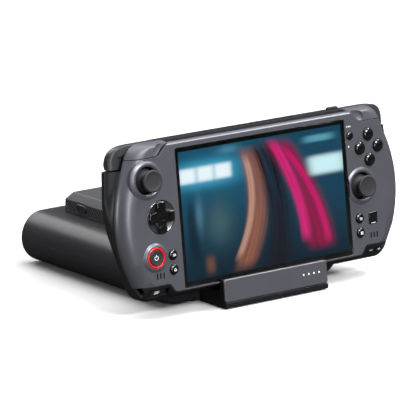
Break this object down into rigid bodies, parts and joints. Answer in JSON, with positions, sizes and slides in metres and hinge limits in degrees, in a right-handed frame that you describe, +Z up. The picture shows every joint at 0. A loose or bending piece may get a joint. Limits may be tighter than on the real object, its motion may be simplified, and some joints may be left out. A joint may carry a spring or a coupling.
{
  "type": "game console with controller",
  "caption": "Handheld game console with built-in sticks, pad, buttons and triggers, leaning in a charging dock that carries a lift-off battery pack",
  "frame": {"origin": "middle of the footprint of the whole object, on the table", "axes": "+Z up, +Y away from the player, +X to the player's right; the console leans back towards +Y"},
  "size_m": [0.2626, 0.2006, 0.1276],
  "materials": {
    "gunmetal_shell": "satin gunmetal grey soft-touch paint with a fine metallic grain",
    "black_shell": "fine spark-textured satin black moulding",
    "gloss_black": "polished piano black",
    "stick_cap": "dark grey soft-touch rubber",
    "screen_glass": "clear cover glass over a black display border",
    "lcd": "lit colour picture, teal and blue with a bright bar and a magenta glow",
    "power_disc": "satin dark grey key with a light icon",
    "power_red": "glowing red ring",
    "dock_shell": "satin charcoal moulding",
    "light_pip": "frosted white light pipe",
    "circuit_board": "green solder mask with components",
    "cell_wrap": "blue heat-shrink wrap",
    "pouch_cell": "foil pouch",
    "steel": "plain stamped steel",
    "copper": "bare copper fins and plate",
    "foot_rubber": "matt black rubber"
  },
  "bodies": {
    "dock": {"dock_upper_shell": "dock_shell", "dock_base": "dock_shell", "cradle_body": "black_shell", "cradle_front_plate": "gunmetal_shell", "light_guide": "light_pip", "dock_plug": "black_shell", "power_board": "circuit_board", "mains_inlet": "black_shell", "pack_connector": "black_shell", "left_foot": "foot_rubber", "right_foot": "foot_rubber", "front_foot": "foot_rubber"},
    "console": {"front_shell": "gunmetal_shell", "rear_shell": "black_shell", "display_glass": "screen_glass", "lcd_panel": "lcd", "mainboard": "circuit_board", "console_battery": "pouch_cell", "fan_housing": "black_shell", "heatsink": "copper", "charge_socket": "steel", "speaker_left": "black_shell", "speaker_right": "black_shell", "left_control_board": "circuit_board", "right_control_board": "circuit_board", "left_stick_housing": "black_shell", "right_stick_housing": "black_shell", "power_ring": "power_red", "fingerprint_sensor": "gloss_black", "top_vent_grille": "black_shell"},
    "battery_pack": {"battery_shell": "dock_shell", "battery_base": "dock_shell", "battery_cells": "cell_wrap"},
    "fan_rotor": {"fan_rotor": "black_shell"},
    "left_stick_gimbal": {"left_stick_gimbal": "steel"},
    "left_stick": {"left_stick": "stick_cap"},
    "right_stick_gimbal": {"right_stick_gimbal": "steel"},
    "right_stick": {"right_stick": "stick_cap"},
    "dpad_rocker": {"dpad_rocker": "black_shell"},
    "dpad": {"dpad": "gloss_black"},
    "face_button_top": {"face_button_top": "gloss_black"},
    "face_button_right": {"face_button_right": "gloss_black"},
    "face_button_bottom": {"face_button_bottom": "gloss_black"},
    "face_button_left": {"face_button_left": "gloss_black"},
    "view_button": {"view_button": "gloss_black"},
    "home_button": {"home_button": "gloss_black"},
    "options_button": {"options_button": "gloss_black"},
    "library_button": {"library_button": "gloss_black"},
    "aux_button": {"aux_button": "gloss_black"},
    "power_button": {"power_button": "power_disc"},
    "menu_button": {"menu_button": "gloss_black"},
    "volume_down_button": {"volume_down_button": "black_shell"},
    "volume_up_button": {"volume_up_button": "black_shell"},
    "top_button": {"top_button": "black_shell"},
    "left_bumper": {"left_bumper": "gunmetal_shell"},
    "left_trigger": {"left_trigger": "gloss_black"},
    "right_bumper": {"right_bumper": "gunmetal_shell"},
    "right_trigger": {"right_trigger": "gloss_black"},
    "release_button_left": {"release_button_left": "black_shell"},
    "release_button_right": {"release_button_right": "black_shell"}
  },
  "joints": [
    {"name": "console_lift", "type": "slide", "parent": "dock", "child": "console", "axis": [0, 0.1271, 0.9919], "range_m": [0, 0.09]},
    {"name": "pack_lift", "type": "slide", "parent": "dock", "child": "battery_pack", "axis": [0, 0, 1], "range_m": [0, 0.05]},
    {"name": "fan_spin", "type": "hinge", "parent": "console", "child": "fan_rotor", "pos_m": [-0.028, -0.06882, 0.09073], "axis": [0, 0.9919, -0.1271], "continuous": true},
    {"name": "left_stick_tilt", "type": "hinge", "parent": "console", "child": "left_stick_gimbal", "pos_m": [-0.1051, -0.07493, 0.10048], "axis": [1, 0, 0], "range_deg": [-18, 18], "stiffness_Nm_per_rad": 0.12},
    {"name": "left_stick_sway", "type": "hinge", "parent": "left_stick_gimbal", "child": "left_stick", "pos_m": [-0.1051, -0.07493, 0.10048], "axis": [0, 0.1271, 0.9919], "range_deg": [-18, 18], "stiffness_Nm_per_rad": 0.12},
    {"name": "right_stick_tilt", "type": "hinge", "parent": "console", "child": "right_stick_gimbal", "pos_m": [0.0906, -0.07898, 0.06884], "axis": [1, 0, 0], "range_deg": [-18, 18], "stiffness_Nm_per_rad": 0.12},
    {"name": "right_stick_sway", "type": "hinge", "parent": "right_stick_gimbal", "child": "right_stick", "pos_m": [0.0906, -0.07898, 0.06884], "axis": [0, 0.1271, 0.9919], "range_deg": [-18, 18], "stiffness_Nm_per_rad": 0.12},
    {"name": "dpad_tilt", "type": "hinge", "parent": "console", "child": "dpad_rocker", "pos_m": [-0.0949, -0.08095, 0.07313], "axis": [1, 0, 0], "range_deg": [-4, 4], "stiffness_Nm_per_rad": 0.12},
    {"name": "dpad_sway", "type": "hinge", "parent": "dpad_rocker", "child": "dpad", "pos_m": [-0.0949, -0.08095, 0.07313], "axis": [0, 0.1271, 0.9919], "range_deg": [-4, 4], "stiffness_Nm_per_rad": 0.12},
    {"name": "face_top_press", "type": "slide", "parent": "console", "child": "face_button_top", "axis": [0, 0.9919, -0.1271], "range_m": [0, 0.0014], "stiffness_N_per_m": 250, "springref_m": -0.0006},
    {"name": "face_right_press", "type": "slide", "parent": "console", "child": "face_button_right", "axis": [0, 0.9919, -0.1271], "range_m": [0, 0.0014], "stiffness_N_per_m": 250, "springref_m": -0.0006},
    {"name": "face_bottom_press", "type": "slide", "parent": "console", "child": "face_button_bottom", "axis": [0, 0.9919, -0.1271], "range_m": [0, 0.0014], "stiffness_N_per_m": 250, "springref_m": -0.0006},
    {"name": "face_left_press", "type": "slide", "parent": "console", "child": "face_button_left", "axis": [0, 0.9919, -0.1271], "range_m": [0, 0.0014], "stiffness_N_per_m": 250, "springref_m": -0.0006},
    {"name": "view_press", "type": "slide", "parent": "console", "child": "view_button", "axis": [0, 0.9919, -0.1271], "range_m": [0, 0.001], "stiffness_N_per_m": 250, "springref_m": -0.0006},
    {"name": "home_press", "type": "slide", "parent": "console", "child": "home_button", "axis": [0, 0.9919, -0.1271], "range_m": [0, 0.001], "stiffness_N_per_m": 250, "springref_m": -0.0006},
    {"name": "options_press", "type": "slide", "parent": "console", "child": "options_button", "axis": [0, 0.9919, -0.1271], "range_m": [0, 0.001], "stiffness_N_per_m": 250, "springref_m": -0.0006},
    {"name": "library_press", "type": "slide", "parent": "console", "child": "library_button", "axis": [0, 0.9919, -0.1271], "range_m": [0, 0.001], "stiffness_N_per_m": 250, "springref_m": -0.0006},
    {"name": "aux_press", "type": "slide", "parent": "console", "child": "aux_button", "axis": [0, 0.9919, -0.1271], "range_m": [0, 0.0008], "stiffness_N_per_m": 250, "springref_m": -0.0006},
    {"name": "power_press", "type": "slide", "parent": "console", "child": "power_button", "axis": [0, 0.9919, -0.1271], "range_m": [0, 0.0009], "stiffness_N_per_m": 250, "springref_m": -0.0006},
    {"name": "menu_press", "type": "slide", "parent": "console", "child": "menu_button", "axis": [0, 0.8415, 0.5402], "range_m": [0, 0.0007], "stiffness_N_per_m": 250, "springref_m": -0.0006},
    {"name": "volume_down_press", "type": "slide", "parent": "console", "child": "volume_down_button", "axis": [0, 0.8415, 0.5402], "range_m": [0, 0.0007], "stiffness_N_per_m": 250, "springref_m": -0.0006},
    {"name": "volume_up_press", "type": "slide", "parent": "console", "child": "volume_up_button", "axis": [0, 0.8415, 0.5402], "range_m": [0, 0.0007], "stiffness_N_per_m": 250, "springref_m": -0.0006},
    {"name": "top_press", "type": "slide", "parent": "console", "child": "top_button", "axis": [0, -0.1271, -0.9919], "range_m": [0, 0.001], "stiffness_N_per_m": 250, "springref_m": -0.0006},
    {"name": "left_bumper_press", "type": "hinge", "parent": "console", "child": "left_bumper", "pos_m": [-0.085, -0.07076, 0.12122], "axis": [0, -0.1271, -0.9919], "range_deg": [0, 1.6], "stiffness_Nm_per_rad": 2, "springref_deg": -1.15},
    {"name": "left_trigger_pull", "type": "hinge", "parent": "console", "child": "left_trigger", "pos_m": [-0.106, -0.06505, 0.12251], "axis": [-1, 0, 0], "range_deg": [0, 10.5], "stiffness_Nm_per_rad": 0.15, "springref_deg": -5.73},
    {"name": "right_bumper_press", "type": "hinge", "parent": "console", "child": "right_bumper", "pos_m": [0.085, -0.07076, 0.12122], "axis": [0, 0.1271, 0.9919], "range_deg": [0, 1.6], "stiffness_Nm_per_rad": 2, "springref_deg": -1.15},
    {"name": "right_trigger_pull", "type": "hinge", "parent": "console", "child": "right_trigger", "pos_m": [0.106, -0.06505, 0.12251], "axis": [-1, 0, 0], "range_deg": [0, 10.5], "stiffness_Nm_per_rad": 0.15, "springref_deg": -5.73},
    {"name": "left_release_press", "type": "slide", "parent": "battery_pack", "child": "release_button_left", "axis": [1, 0, 0], "range_m": [0, 0.002], "stiffness_N_per_m": 250, "springref_m": -0.0006},
    {"name": "right_release_press", "type": "slide", "parent": "battery_pack", "child": "release_button_right", "axis": [-1, 0, 0], "range_m": [0, 0.002], "stiffness_N_per_m": 250, "springref_m": -0.0006}
  ]
}
